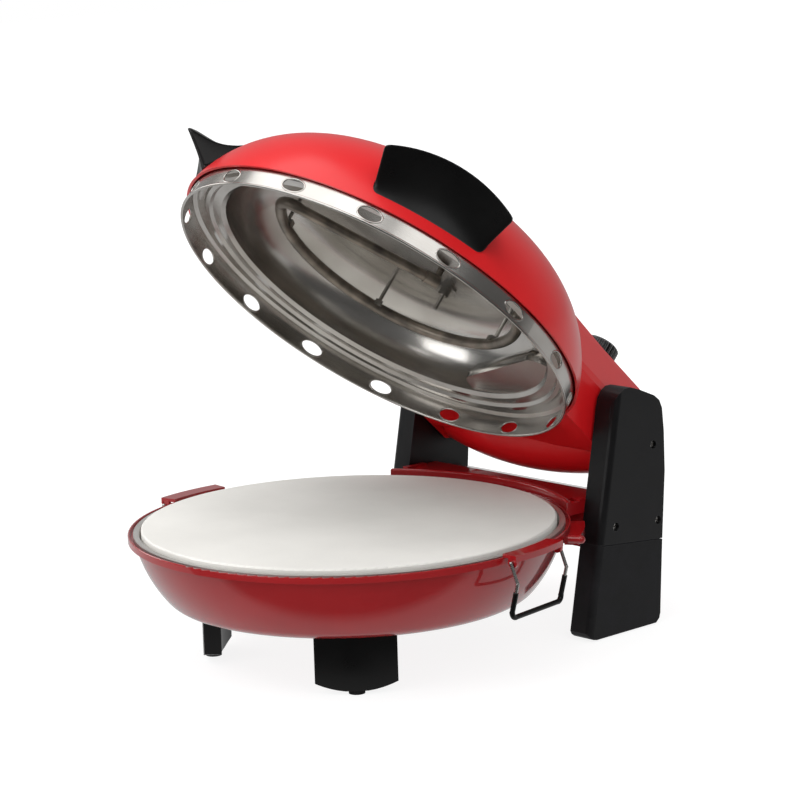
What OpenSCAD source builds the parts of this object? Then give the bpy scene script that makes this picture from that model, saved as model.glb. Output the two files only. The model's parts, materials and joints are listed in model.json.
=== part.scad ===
// Countertop pizza maker: a round heated base with a baking stone, and a domed lid with its own
// heating element that swings open between two rear pillars.
// Units are millimetres. +Z is up, the bench is Z = 0, the pillars stand at the back (+Y) and
// X = 0 is the middle plane. Lid pieces are drawn closed and then swung open to the rest pose.

/* [Baking stone] */
// Radius of the round stone
stone_radius = 155; // [130:1:170]
// Thickness of the stone
stone_thickness = 12; // [8:1:18]
// Height of the stone's top above the bench
stone_top = 104; // [96:1:120]
// Rounding of the stone's edges
stone_edge = 1.5; // [0.5:0.5:3]

/* [Steel pan under the stone] */
// Gap between the stone's edge and the pan wall
stone_gap = 1.8; // [1:0.1:4]
// Sheet thickness of the pan and of the lid reflector
sheet = 1.2; // [0.8:0.1:2]
// How far the pan's flange lies below the stone's top
flange_drop = 3.5; // [2:0.5:6]
// How far the pan's upright wall leans inwards
wall_draft = 1.2; // [0.8:0.1:1.4]
// Width of the pan's flange
flange_width = 4.2; // [3:0.1:8]
// Depth of the flange's turned down edge
flange_depth = 3.5; // [2:0.5:6]
// Width of the ledge that carries the stone
ledge_width = 16.8; // [10:0.1:30]
// Depth of the pan below the ledge
pan_depth = 18.8; // [12:0.1:24]

/* [Bowl housing] */
// Sheet thickness of the painted bowl
bowl_wall = 1.5; // [1:0.5:2]
// Radial gap between the pan's flange and the bowl's rim, where the lid's skirt settles
rim_gap = 2.3; // [1.5:0.1:5]
// Width of the bowl's upright rim
rim_width = 1.7; // [1.2:0.1:4]
// Depth of the bowl below the stone's top
bowl_depth = 58; // [50:1:66]
// Radius of the long arc of the bowl's side, seen in section
side_arc = 98.5; // [80:0.5:130]
// Radius of the arc between side and floor
floor_arc = 20; // [10:1:30]
// How far the bowl's side starts inside the rim
side_inset = 4.6; // [3:0.1:8]

/* [Lower heating element] */
// Radius of the ring
lower_ring = 108; // [80:1:125]
// Radius of the heating tube, below and above
tube_radius = 3.5; // [3:0.1:5]
// Height of the ring's centre above the pan floor
ring_lift = 8.8; // [6:0.1:12]
// Half of the angle left open between the ring's two ends
ring_opening = 10; // [6:1:30]

/* [Feet] */
// Distance of the front feet from the middle of the stone
foot_distance = 106; // [85:0.5:108]
// Direction of the right front foot, measured from +X
foot_angle = -41.5; // [-70:0.5:-20]
// Radial thickness of a front foot
foot_thickness = 13; // [12:1:20]
// Angle that a front foot covers
foot_span = 31; // [20:1:50]
// Radius of the foot's rounded lower edge
foot_rocker = 80; // [60:1:120]
// Thickness of the front rubber pads
pad_height = 3; // [2:0.5:5]
// Radius of a front rubber pad
pad_radius = 6; // [4:0.5:6]

/* [Hinge] */
// Distance of the hinge axis behind the middle of the stone
hinge_y = 210; // [195:1:230]
// Height of the hinge axis above the stone's top
hinge_lift = 37; // [30:1:50]
// Opening angle of the lid in the rest pose
lid_open = 42.7; // [0:0.1:60]
// Radius of the hinge pins
pin_radius = 5; // [3:0.5:8]
// Radial clearance between pin and bush
pin_play = 0.05; // [0.02:0.01:0.1]
// Radius of the neck's round underside at its ends
barrel_radius = 22; // [18:0.5:26]
// How much thicker the round underside is in the middle
barrel_swell = 12.5; // [6:0.5:13]

/* [Pillars] */
// Distance of a pillar's inner face from the middle plane
pillar_inside = 96.4; // [80:0.1:110]
// Thickness of a pillar
pillar_thickness = 20; // [14:0.5:30]
// Radius of the pillar's rounded front edge
pillar_round = 5; // [3:0.5:9]
// Height of the pillar's lower edge above the bench
pillar_lift = 1; // [0.5:0.5:3]
// Height of the seam between pillar and pillar base, above the bench
seam_height = 73; // [50:1:90]
// Fall of the seam from front to back, in degrees
seam_fall = 5.3; // [0:0.1:10]
// Radius of the screw recesses
recess_radius = 3.2; // [2.5:0.1:5]

/* [Rear bridge] */
// Sheet thickness of the bridge
bridge_wall = 2.4; // [1.5:0.1:4]
// Height of the bridge's deck above the stone's top
deck_rise = 0.5; // [-1:0.5:2]
// Height of the lip behind the stone above the stone's top
lip_rise = 2.5; // [1.5:0.5:5]
// Distance behind the middle of the stone where the deck begins to slope down
deck_fold = 184; // [178:1:190]
// Fall of the deck's rear slope, in degrees
deck_fall = 14.5; // [0:0.5:18]
// Depth of the bridge below the stone's top
bridge_depth = 36; // [30:1:38]
// Distance of the bridge's back face behind the middle of the stone
bridge_back = 214; // [205:1:220]
// Number of slots in the back panel
slot_count = 7; // [3:1:11]

/* [Side brackets and bails] */
// Width of the brackets, from the rim's outer edge outward
bracket_width = 11.5; // [9:0.1:15]
// Half of the angle that a bracket covers
bracket_half = 9.5; // [9.3:0.1:13]
// Direction of the right bracket's middle, measured from +X
bracket_right_turn = 8.5; // [0:0.5:14]
// Direction of the left bracket's middle, measured from +X
bracket_left_turn = 183.5; // [166:0.5:190]
// Sheet thickness of the brackets
bracket_sheet = 2.5; // [1.5:0.5:4]
// Distance of the bails' pivots from the rim's outer edge
bail_outset = 5.5; // [3.5:0.1:7]
// Depth of the bail pivots below the stone's top
bail_drop = 6.5; // [6:0.5:8]
// Distance between the two legs of a bail
bail_width = 60; // [44:1:60]
// Length of the bail below its pivots
bail_length = 40; // [30:1:50]
// Outward kink of the bail's legs
bail_kink = 5.4; // [3:0.2:6]
// Radius of the bail wire
wire_radius = 1.3; // [1:0.1:1.6]
// Radius of the bail's sleeve
sleeve_radius = 1.9; // [1.7:0.1:2.4]

/* [Lid shell] */
// Height of the dome above the stone's top
dome_height = 99.5; // [90:0.5:110]
// Radius of the crown, seen in section
crown_arc = 351; // [300:1:420]
// Radius of the shoulder, seen in section
shoulder_arc = 101; // [80:1:110]
// Distance of the shoulder arc's centre from the lid's axis
shoulder_x = 66.15; // [50:0.05:80]
// Height of the dome's lower edge above the stone's top
dome_edge = 12; // [10:0.5:16]
// Wall thickness of the lid shell
shell = 2; // [1.5:0.1:4]
// Half width of the neck that reaches back between the pillars
neck_half = 94; // [80:0.5:95]
// Height of the neck's flat top above the stone's top
neck_top = 89.8; // [80:0.1:95]

/* [Reflector] */
// Outside radius of the steel skirt
skirt_radius = 161.2; // [150:0.1:165]
// Height of the skirt's lower edge relative to the stone's top
skirt_low = -2.8; // [-3.2:0.1:0]
// Radius of the rolled bead on the skirt's edge
bead_radius = 1.1; // [0.8:0.1:2]
// Number of holes in the skirt
hole_count = 16; // [8:1:24]
// Half height of a skirt hole
hole_radius = 4.9; // [4:0.1:6.5]
// Straight part of a skirt hole along the skirt
hole_stretch = 8.4; // [4:0.2:12]
// Height of the hole centres above the skirt's lower edge
hole_lift = 7.9; // [7:0.1:9]
// Distance of the deep pressed bowl's wall inside the skirt
deep_inset = 26.2; // [22:0.1:50]
// Height of the pressed bowl's roof above the stone's top
deep_roof = 66; // [50:1:72]
// Radius of the pressed bowl's shoulder
deep_corner = 40; // [20:1:48]

/* [Upper heating element] */
// Radius of the outer run
upper_ring = 100; // [80:1:110]
// Height of the outer run above the stone's top
upper_lift = 41; // [36:1:50]
// Radius of the small turn between outer and inner run
turn_radius = 11; // [8:0.5:16]
// Height of the inner run's raised end above the stone's top
tail_lift = 57; // [45:1:60]

/* [Grips] */
// Direction of the right grip's middle, measured from +X
grip_angle = -39.3; // [-60:0.1:-20]
// Half of the angle that a grip covers
grip_half = 16.2; // [10:0.1:25]
// Distance of the grip's tip from the lid's axis
grip_tip = 181; // [172:0.5:190]
// Height of the grip's tip above the stone's top
grip_tip_height = 60; // [50:0.1:66]
// Radius of the grip's crown from end to end
grip_crown = 103; // [80:1:160]
// Radius of the grip's rounded lower corners
grip_corner = 7; // [4:0.5:10]
// Height of the grip's lower edge above the stone's top
grip_base = 20.5; // [19:0.5:24]

/* [Thermostat] */
// Distance of the knob from the middle plane
knob_x = 38; // [30:1:50]
// Distance of the knob behind the middle of the stone
knob_y = 187; // [180:1:200]
// Radius of the knob
knob_radius = 15.5; // [12:0.5:20]
// Height of the knob
knob_height = 13.2; // [10:0.2:18]
// Number of grooves round the knob
groove_count = 24; // [12:1:36]
// Radius of the knob's shaft
shaft_radius = 3; // [2:0.5:4]

/* [Hidden] */
$fn = 96;
eps = 0.01;
far = 240;
// Front line of the bridge's body under the deck
body_front = bridge_back - 61;

// Base levels and radii
pan_wall = stone_radius + stone_gap;
flange_top = stone_top - flange_drop;
bridge_low = stone_top - bridge_depth;
panel_low = bridge_low + 2.6;
panel_height = stone_top + deck_rise - tan(deck_fall) * (bridge_back - deck_fold) - 4 - panel_low;
flange_edge = pan_wall + flange_width;
shelf = flange_top - flange_depth;
rim_inner = flange_edge + rim_gap;
rim_outer = rim_inner + rim_width;
bracket_reach = rim_outer + bracket_width;
bail_x = rim_outer + bail_outset;
deep_radius = skirt_radius - deep_inset;
stone_seat = stone_top - stone_thickness;
pan_inner = pan_wall + sheet - ledge_width;
pan_floor = stone_seat - pan_depth;
bowl_floor = stone_top - bowl_depth;
side_top = rim_outer - side_inset;
arc_z = shelf + 19.7;
arc_x = side_top - sqrt(side_arc * side_arc - pow(arc_z - shelf, 2));
corner_z = bowl_floor + floor_arc;
corner_x = arc_x + sqrt(pow(side_arc - floor_arc, 2) - pow(arc_z - corner_z, 2));
bend = atan2(arc_z - corner_z, corner_x - arc_x);
ring_z = pan_floor + ring_lift;

// Hinge and frame
hinge_z = stone_top + hinge_lift;
deck = stone_top + deck_rise;
lip_thickness = 4;
neck_low = stone_top + dome_edge;

// Side line of the neck from dome to back, as [distance back, height]
neck_line = [
    [30, stone_top + 76],
    [60, stone_top + 95.6],
    [85, stone_top + 96.4],
    [108, stone_top + 95.8],
    [126, stone_top + 94.4],
    [142, stone_top + 92.2],
    [156, stone_top + 90.6],
    [168, stone_top + neck_top],
    [hinge_y + 12, stone_top + neck_top],
    [hinge_y + 22, stone_top + neck_top - 2],
    [hinge_y + 29.5, stone_top + neck_top - 7],
    [hinge_y + 34, stone_top + neck_top - 15],
    [hinge_y + 36.2, stone_top + neck_top - 28],
    [hinge_y + 36.5, hinge_z]
];
neck_back = hinge_y + 36.5;

// Half of the neck's cross-section, as [distance from the middle, height]
neck_section = [
    [neck_half, stone_top + 42],
    [neck_half - 0.5, stone_top + 48],
    [neck_half - 4, stone_top + 54.5],
    [neck_half - 28, stone_top + 85],
    [neck_half - 33, stone_top + 91],
    [neck_half - 40, stone_top + 97]
];

// How far back the open lid reaches, and the shift that centres the whole part on Y = 0
lid_reach = max([for (p = neck_line)
    hinge_y + (p[0] - hinge_y) * cos(lid_open) + (p[1] - hinge_z) * sin(lid_open)]);
centre_y = (lid_reach - rim_outer) / 2;

// Shared helpers

module placed() {
    translate([0, -centre_y, 0]) children();
}

module lid_at_rest() {
    placed()
        translate([0, hinge_y, hinge_z])
            rotate([-lid_open, 0, 0])
                translate([0, -hinge_y, -hinge_z])
                    children();
}

module rod(from, to, radius) {
    run = to - from;
    length = norm(run);
    translate(from)
        rotate([0, acos(run[2] / length), atan2(run[1], run[0])])
            cylinder(h = length, r = radius);
}

module ball(at, radius) {
    translate(at) sphere(radius);
}

// Plan view wedge that opens from -half to +half about +X
module wedge(half, reach) {
    polygon([[0, 0], [reach, -reach * tan(half)], [reach, reach * tan(half)]]);
}

// Region under the bowl's side arc, floor arc and floor, in section
module bowl_region(inset, top) {
    intersection() {
        union() {
            intersection() {
                translate([arc_x, arc_z]) circle(side_arc - inset);
                polygon([[arc_x, arc_z], [arc_x + far, arc_z],
                    [arc_x + far * cos(bend), arc_z - far * sin(bend)]]);
            }
            translate([corner_x, corner_z]) circle(floor_arc - inset);
            polygon([[0, bowl_floor + inset], [corner_x, bowl_floor + inset],
                [corner_x + 2, corner_z], [arc_x + 2, arc_z], [0, arc_z]]);
        }
        translate([0, bowl_floor + inset]) square([far, top - bowl_floor - inset]);
    }
}

// Region under the dome's crown and shoulder arcs, in section
module dome_region(inset, low) {
    crown_z = stone_top + dome_height - crown_arc;
    tilt = asin(shoulder_x / (crown_arc - shoulder_arc));
    shoulder_z = crown_z + (crown_arc - shoulder_arc) * cos(tilt);
    intersection() {
        union() {
            intersection() {
                translate([0, crown_z]) circle(crown_arc - inset);
                polygon([[0, crown_z], [2 * far * tan(tilt), crown_z + 2 * far],
                    [0, crown_z + 2 * far]]);
            }
            translate([shoulder_x, shoulder_z]) circle(shoulder_arc - inset);
        }
        translate([0, low]) square([far, far]);
    }
}

// Section of a round tub standing on its mouth: flat roof, rounded shoulder
module tub_region(radius, low, roof, corner) {
    translate([0, low]) square([radius - corner, roof - low]);
    translate([0, low]) square([radius, roof - corner - low]);
    translate([radius - corner, roof - corner]) circle(corner);
}

module tub_half(radius, low, roof, corner) {
    intersection() {
        tub_region(radius, low, roof, corner);
        translate([0, low]) square([far, far]);
    }
}

// Base

module lower_bowl() {
    color([0.72, 0.07, 0.09])
        rotate_extrude() {
            difference() {
                bowl_region(0, shelf);
                bowl_region(bowl_wall, shelf + 1);
            }
            translate([side_top - bowl_wall, shelf - bowl_wall])
                square([rim_outer - side_top + bowl_wall, bowl_wall]);
            translate([rim_inner, shelf - bowl_wall])
                square([rim_width, flange_top - shelf + bowl_wall - rim_width / 2]);
            translate([rim_inner + rim_width / 2, flange_top - rim_width / 2])
                circle(rim_width / 2);
        }
}

module stone_pan() {
    color([0.62, 0.61, 0.59])
        difference() {
            rotate_extrude() {
                translate([flange_edge - sheet, shelf]) square([sheet, flange_depth]);
                translate([pan_wall, flange_top - sheet]) square([flange_width, sheet]);
                polygon([[pan_wall, flange_top], [pan_wall + sheet, flange_top],
                    [pan_wall - wall_draft + sheet, stone_seat - sheet],
                    [pan_wall - wall_draft, stone_seat - sheet]]);
                translate([pan_inner - sheet, stone_seat - sheet])
                    square([pan_wall - wall_draft - pan_inner + 2 * sheet, sheet]);
                translate([pan_inner - sheet, pan_floor - sheet])
                    square([sheet, stone_seat - pan_floor + sheet]);
                translate([0, pan_floor - sheet]) square([pan_inner, sheet]);
            }
            for (side = [-1, 1])
                rotate([0, 0, 90 + side * ring_opening])
                    translate([lower_ring, 0, pan_floor - 2 * sheet])
                        cylinder(h = 4 * sheet, r = tube_radius + 0.5);
        }
}

module baking_stone() {
    seat = stone_seat + 0.02;
    height = stone_top - seat;
    color([0.93, 0.93, 0.91])
        rotate_extrude()
            translate([0, seat]) {
                square([stone_radius - stone_edge, height]);
                translate([0, stone_edge]) square([stone_radius, height - 2 * stone_edge]);
                for (z = [stone_edge, height - stone_edge])
                    translate([stone_radius - stone_edge, z]) circle(stone_edge);
            }
}

module lower_tube(radius) {
    rotate([0, 0, 90 + ring_opening])
        rotate_extrude(angle = 360 - 2 * ring_opening)
            translate([lower_ring, ring_z]) circle(radius);
}

module lower_element() {
    leg = 24;
    color([0.25, 0.24, 0.23]) {
        lower_tube(tube_radius);
        for (side = [-1, 1])
            rotate([0, 0, 90 + side * ring_opening]) {
                ball([lower_ring, 0, ring_z], tube_radius);
                translate([lower_ring, 0, ring_z - leg]) cylinder(h = leg, r = tube_radius);
            }
    }
}

module lower_element_clips() {
    color([0.7, 0.7, 0.7])
        difference() {
            for (turn = [-90, 30, 150])
                rotate([0, 0, turn])
                    translate([lower_ring - tube_radius - 2, -4, pan_floor])
                        cube([2 * tube_radius + 4, 8, ring_lift]);
            rotate_extrude() translate([lower_ring, ring_z]) circle(tube_radius + 0.02);
        }
}

module front_foot() {
    color([0.05, 0.05, 0.05])
        rotate([0, 0, foot_angle])
            difference() {
                intersection() {
                    rotate([0, 0, -foot_span / 2])
                        rotate_extrude(angle = foot_span)
                            translate([foot_distance - foot_thickness / 2, pad_height])
                                square([foot_thickness, bowl_floor - pad_height]);
                    translate([0, 0, pad_height + foot_rocker - 0.4])
                        rotate([0, 90, 0]) cylinder(h = far, r = foot_rocker);
                }
                translate([foot_distance, 0, pad_height - 1])
                    cylinder(h = 2.5, r = pad_radius - 2);
            }
}

module front_foot_right() {
    front_foot();
}

module front_foot_left() {
    mirror([1, 0, 0]) front_foot();
}

module foot_pads() {
    color([0.12, 0.12, 0.12])
        for (side = [0, 1])
            mirror([side, 0, 0])
                rotate([0, 0, foot_angle])
                    translate([foot_distance, 0, 0]) {
                        cylinder(h = pad_height, r = pad_radius);
                        cylinder(h = pad_height + 1.5, r = pad_radius - 2);
                    }
}

// Plan of the bridge between the pillars, with the bowl's round cut out
module bridge_plan(inset, clearance) {
    difference() {
        translate([-pillar_inside + inset, 90])
            square([2 * (pillar_inside - inset), bridge_back - 90 - inset]);
        circle(rim_outer + clearance);
    }
}

module bridge_boss() {
    translate([pillar_inside - 5.4, 148, deck - 1]) cube([5.4, 21, 2.6]);
}

// Space above the deck: level in front, falling towards the back
module above_deck(drop) {
    translate([-far / 2, deck_fold, deck - drop])
        rotate([-deck_fall, 0, 0]) cube([far, far, far]);
    translate([-far / 2, 0, deck - drop]) cube([far, deck_fold + far * sin(deck_fall), far]);
}

module rear_bridge() {
    low = bridge_low;
    plate = 9;
    color([0.72, 0.07, 0.09])
        difference() {
            union() {
                difference() {
                    translate([0, 0, low]) linear_extrude(deck - low + 2) bridge_plan(0, 0.2);
                    above_deck(0);
                    // Below the deck's edge the front stands back behind the pillars' front line
                    translate([-far / 2, 0, low - 1])
                        cube([far, body_front, deck - plate - low + 1]);
                }
                intersection() {
                    translate([0, 0, low]) linear_extrude(far) bridge_plan(0, 0.2);
                    rotate_extrude() {
                        translate([rim_outer, deck - 1])
                            square([lip_thickness, lip_rise - deck_rise + 1 - lip_thickness / 2]);
                        translate([rim_outer + lip_thickness / 2,
                            stone_top + lip_rise - lip_thickness / 2])
                            circle(lip_thickness / 2);
                    }
                }
                difference() {
                    for (side = [0, 1]) mirror([side, 0, 0]) bridge_boss();
                    cylinder(h = far, r = rim_outer + 0.2);
                }
            }
            // The hollow inside, open at the bottom
            difference() {
                translate([0, 0, low - 1])
                    linear_extrude(deck - low + 1)
                        bridge_plan(bridge_wall, 0.2 + bridge_wall);
                above_deck(bridge_wall);
                translate([-far / 2, 0, low - 2])
                    cube([far, body_front + bridge_wall, deck - plate + bridge_wall - low + 2]);
            }
            // The back panel's opening
            translate([-pillar_inside + 8, bridge_back - bridge_wall - 1, panel_low])
                cube([2 * (pillar_inside - 8), bridge_wall + 2, panel_height]);
            // The pockets beside the two small bosses
            for (side = [-1, 1])
                translate([side * (pillar_inside - 9.6) - 3.7, 147.6, deck - 6]) cube([7.4, 6.6, 9]);
        }
}

module bridge_back_panel() {
    low = panel_low;
    width = 2 * (pillar_inside - 8);
    height = panel_height;
    pitch = 13;
    color([0.05, 0.05, 0.05])
        difference() {
            translate([-width / 2, bridge_back - bridge_wall, low])
                cube([width, bridge_wall, height]);
            for (i = [0:slot_count - 1])
                translate([(i - (slot_count - 1) / 2) * pitch - 20, bridge_back, low + height / 2])
                    cube([5, 3 * bridge_wall, height - 9], center = true);
            translate([width / 2 - 24, bridge_back - 4, low + height / 2])
                rotate([-90, 0, 0]) cylinder(h = 8, r = 7);
        }
}

module cord_gland() {
    low = panel_low;
    width = 2 * (pillar_inside - 8);
    height = panel_height;
    color([0.03, 0.03, 0.03])
        translate([width / 2 - 24, bridge_back - bridge_wall, low + height / 2])
            rotate([-90, 0, 0])
                difference() {
                    union() {
                        translate([0, 0, -2]) cylinder(h = 2, r = 9);
                        cylinder(h = bridge_wall, r = 7);
                        translate([0, 0, bridge_wall]) cylinder(h = 2, r = 9);
                    }
                    translate([0, 0, -3]) cylinder(h = 12, r = 4);
                }
}

// Curved step beside the bowl in front of a pillar, with a round nosing
module collar() {
    start = 29.5;
    sweep = 17.5;
    nose_z = shelf - 1.8;
    color([0.72, 0.07, 0.09]) {
        rotate([0, 0, start])
            rotate_extrude(angle = sweep)
                translate([rim_outer, shelf - 6.2]) square([10.5, 6]);
        rotate([0, 0, start])
            rod([rim_outer + 3.3, 0, nose_z], [rim_outer + 12.5, 0, nose_z], 3.1);
        rotate([0, 0, start]) ball([rim_outer + 12.5, 0, nose_z], 3.2);
    }
}

module collar_right() {
    collar();
}

module collar_left() {
    mirror([1, 0, 0]) collar();
}

// The pillar's straight front line leans back by this much per unit of height
front_lean = 0.198;
function front_y(z) = hinge_y - 55.7 + front_lean * (z - stone_top);

// Side outline of a pillar, as [distance back, height]
pillar_line = [
    [front_y(pillar_lift + 8), pillar_lift + 8],
    [front_y(stone_top + 60), stone_top + 60],
    [hinge_y - 42.3, stone_top + 70],
    [hinge_y - 40, stone_top + 77],
    [hinge_y - 36.5, stone_top + 82],
    [hinge_y - 31.5, stone_top + 85],
    [hinge_y - 25, stone_top + 85.2],
    [hinge_y - 15, stone_top + 82],
    [hinge_y + 1.7, stone_top + 75],
    [hinge_y + 7.5, stone_top + 70.5],
    [hinge_y + 10.5, stone_top + 64],
    [hinge_y + 12.1, stone_top + 46.5],
    [hinge_y + 12.5, stone_top + 15],
    [hinge_y + 8.4, stone_top - 39],
    [hinge_y + 5.5, stone_top - 86],
    [hinge_y + 5, pillar_lift + 7],
    [hinge_y + 3.6, pillar_lift + 3],
    [hinge_y, pillar_lift],
    [hinge_y - 67, pillar_lift],
    [hinge_y - 70.8, pillar_lift + 0.8],
    [hinge_y - 73.6, pillar_lift + 2.8],
    [hinge_y - 75, pillar_lift + 5.6]
];

module pillar_outline(thickness) {
    rotate([90, 0, 90]) linear_extrude(thickness) polygon(pillar_line);
}

// Whole pillar with its round front edge, standing on the right
module pillar_body() {
    low = pillar_lift - 20;
    top = stone_top + 110;
    foot = [front_y(low) + pillar_round, low];
    head = [front_y(top) + pillar_round, top];
    edge_x = pillar_inside + pillar_thickness - pillar_round;
    intersection() {
        translate([pillar_inside, 0, 0]) pillar_outline(pillar_thickness);
        union() {
            translate([pillar_inside - 1, 0, 0])
                pillar_outline(pillar_thickness - pillar_round + 1);
            translate([edge_x - 1, 0, 0])
                rotate([90, 0, 90])
                    linear_extrude(pillar_round + 2)
                        polygon([foot, [hinge_y + 40, low], [hinge_y + 40, top], head]);
            rod([edge_x, foot[0], foot[1]], [edge_x, head[0], head[1]],
                pillar_round * cos(atan(front_lean)));
        }
    }
}

module below_seam() {
    translate([0, hinge_y - 62.6, seam_height])
        rotate([-seam_fall, 0, 0])
            translate([0, -60, -far]) cube([far, far, far]);
}

screw_places = [[hinge_y, hinge_z], [hinge_y - 43.3, stone_top - 19.5],
    [hinge_y + 4.1, stone_top - 22.6]];

module screw_recesses() {
    outside = pillar_inside + pillar_thickness;
    for (p = screw_places) {
        translate([outside - 4, p[0], p[1]])
            rotate([0, 90, 0]) cylinder(h = 5, r = recess_radius);
        translate([outside - 13, p[0], p[1]])
            rotate([0, 90, 0]) cylinder(h = 10, r = 1.65);
    }
}

module pin_bore() {
    translate([pillar_inside - 1, hinge_y, hinge_z])
        rotate([0, 90, 0]) cylinder(h = 7.6, r = pin_radius);
}

module pillar() {
    color([0.09, 0.09, 0.095])
        difference() {
            pillar_body();
            below_seam();
            screw_recesses();
            pin_bore();
        }
}

module pillar_base() {
    color([0.12, 0.12, 0.125])
        difference() {
            intersection() {
                pillar_body();
                below_seam();
            }
            // Seats of the rubber pads
            for (y = [hinge_y - 52, hinge_y - 12])
                translate([pillar_inside + pillar_thickness / 2, y, 0])
                    cylinder(h = pillar_lift + 2, r = 7);
            // Shallow rebate that reads as the seam line
            translate([0, hinge_y - 62.6, seam_height])
                rotate([-seam_fall, 0, 0])
                    difference() {
                        translate([pillar_inside - 1, -60, -0.7]) cube([far, far, 2]);
                        translate([pillar_inside + 2, -2.5, -1.4])
                            cube([pillar_thickness - 2.8, 71, 3]);
                    }
        }
}

module pillar_right() {
    pillar();
}

module pillar_left() {
    mirror([1, 0, 0]) pillar();
}

module pillar_base_right() {
    pillar_base();
}

module pillar_base_left() {
    mirror([1, 0, 0]) pillar_base();
}

module pillar_pads() {
    color([0.12, 0.12, 0.12])
        for (side = [0, 1])
            mirror([side, 0, 0])
                for (y = [hinge_y - 52, hinge_y - 12])
                    translate([pillar_inside + pillar_thickness / 2, y, 0])
                        cylinder(h = pillar_lift + 2, r = 7);
}

module pillar_screws() {
    outside = pillar_inside + pillar_thickness;
    color([0.5, 0.5, 0.5])
        for (p = screw_places)
            translate([outside, p[0], p[1]])
                rotate([0, -90, 0])
                    difference() {
                        union() {
                            translate([0, 0, 2.2]) cylinder(h = 1.8, r = recess_radius - 0.4);
                            translate([0, 0, 4 - eps]) cylinder(h = 8, r = 1.6);
                        }
                        for (turn = [0, 90])
                            rotate([0, 0, turn])
                                translate([0, 0, 2.2]) cube([3.6, 0.8, 1.6], center = true);
                    }
}

module pillar_screws_right() {
    pillar_screws();
}

module pillar_screws_left() {
    mirror([1, 0, 0]) pillar_screws();
}

module hinge_pin() {
    color([0.75, 0.75, 0.75])
        translate([neck_half - 9, hinge_y, hinge_z])
            rotate([0, 90, 0]) cylinder(h = pillar_inside + 6.6 - neck_half + 9, r = pin_radius);
}

module hinge_pin_right() {
    hinge_pin();
}

module hinge_pin_left() {
    mirror([1, 0, 0]) hinge_pin();
}

// Side bracket: a curved strap on the bowl's rim with a lip and two lugs for the bail
module bracket() {
    lug_y = bail_width / 2 - wire_radius - 1.6;
    pivot_z = stone_top - bail_drop;
    color([0.78, 0.08, 0.09])
        difference() {
            union() {
                rotate([0, 0, -bracket_half])
                    rotate_extrude(angle = 2 * bracket_half) {
                        translate([rim_outer, flange_top])
                            square([bracket_reach - rim_outer, bracket_sheet]);
                        translate([rim_inner, flange_top + 0.02])
                            square([rim_width + 1, bracket_sheet - 0.02]);
                        translate([bracket_reach - 1.6, flange_top - 2])
                            square([1.6, bracket_sheet + 1]);
                    }
                for (side = [-1, 1])
                    translate([bail_x, side * lug_y, pivot_z]) {
                        rotate([90, 0, 0])
                            cylinder(h = bracket_sheet, r = 3.8, center = true);
                        translate([-3.8, -bracket_sheet / 2, 0])
                            cube([7.6, bracket_sheet, flange_top - pivot_z + 1]);
                    }
            }
            translate([bail_x, 0, pivot_z])
                rotate([90, 0, 0])
                    cylinder(h = bail_width + 20, r = wire_radius + pin_play, center = true);
        }
}

module bracket_right() {
    rotate([0, 0, bracket_right_turn]) bracket();
}

module bracket_left() {
    rotate([0, 0, bracket_left_turn]) bracket();
}

// Half bail with its pivot at the origin; the loop hangs down and the kink points to +X.
// Bends are a touch thicker than the straight wire, as bent wire is.
bail_turn = 4.2;
bail_knee = [bail_kink, bail_width / 2, -bail_length * 0.36];
bail_heel = [0, bail_width / 2, bail_turn - bail_length];
bend_extra = 0.12;

module bail_corner(radius) {
    translate([0, bail_width / 2 - bail_turn, bail_turn - bail_length])
        rotate([0, 90, 0])
            rotate_extrude(angle = 90) translate([bail_turn, 0]) circle(radius);
}

module bail_half_wire() {
    side = bail_width / 2;
    rod([0, side, 0], [0, side - 7, 0], wire_radius);
    ball([0, side, 0], wire_radius + bend_extra);
    rod([0, side, 0], bail_knee, wire_radius);
    ball(bail_knee, wire_radius + bend_extra);
    rod(bail_knee, bail_heel, wire_radius);
    ball(bail_heel, wire_radius + 1.5 * bend_extra);
    bail_corner(wire_radius + bend_extra);
    rod([0, side - bail_turn + 0.3, -bail_length], [0, -0.5, -bail_length], wire_radius);
}

module bail_wire() {
    color([0.8, 0.8, 0.8]) {
        bail_half_wire();
        mirror([0, 1, 0]) bail_half_wire();
    }
}

module bail_half_sleeve() {
    start = bail_knee + (bail_heel - bail_knee) * 0.3;
    rod(start, bail_heel, sleeve_radius);
    ball(bail_heel, sleeve_radius + 1.5 * bend_extra);
    bail_corner(sleeve_radius + bend_extra);
    rod([0, bail_width / 2 - bail_turn + 0.3, -bail_length], [0, -0.5, -bail_length],
        sleeve_radius);
}

module bail_sleeve() {
    color([0.03, 0.03, 0.03])
        difference() {
            union() {
                bail_half_sleeve();
                mirror([0, 1, 0]) bail_half_sleeve();
            }
            bail_half_wire();
            mirror([0, 1, 0]) bail_half_wire();
        }
}

module bail_on_right() {
    rotate([0, 0, bracket_right_turn])
        translate([bail_x, 0, stone_top - bail_drop]) children();
}

module bail_on_left() {
    rotate([0, 0, bracket_left_turn])
        translate([bail_x, 0, stone_top - bail_drop]) children();
}

module bail_wire_right() {
    bail_on_right() bail_wire();
}

module bail_wire_left() {
    bail_on_left() bail_wire();
}

module bail_sleeve_right() {
    bail_on_right() bail_sleeve();
}

module bail_sleeve_left() {
    bail_on_left() bail_sleeve();
}

// Lid, drawn closed

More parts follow.
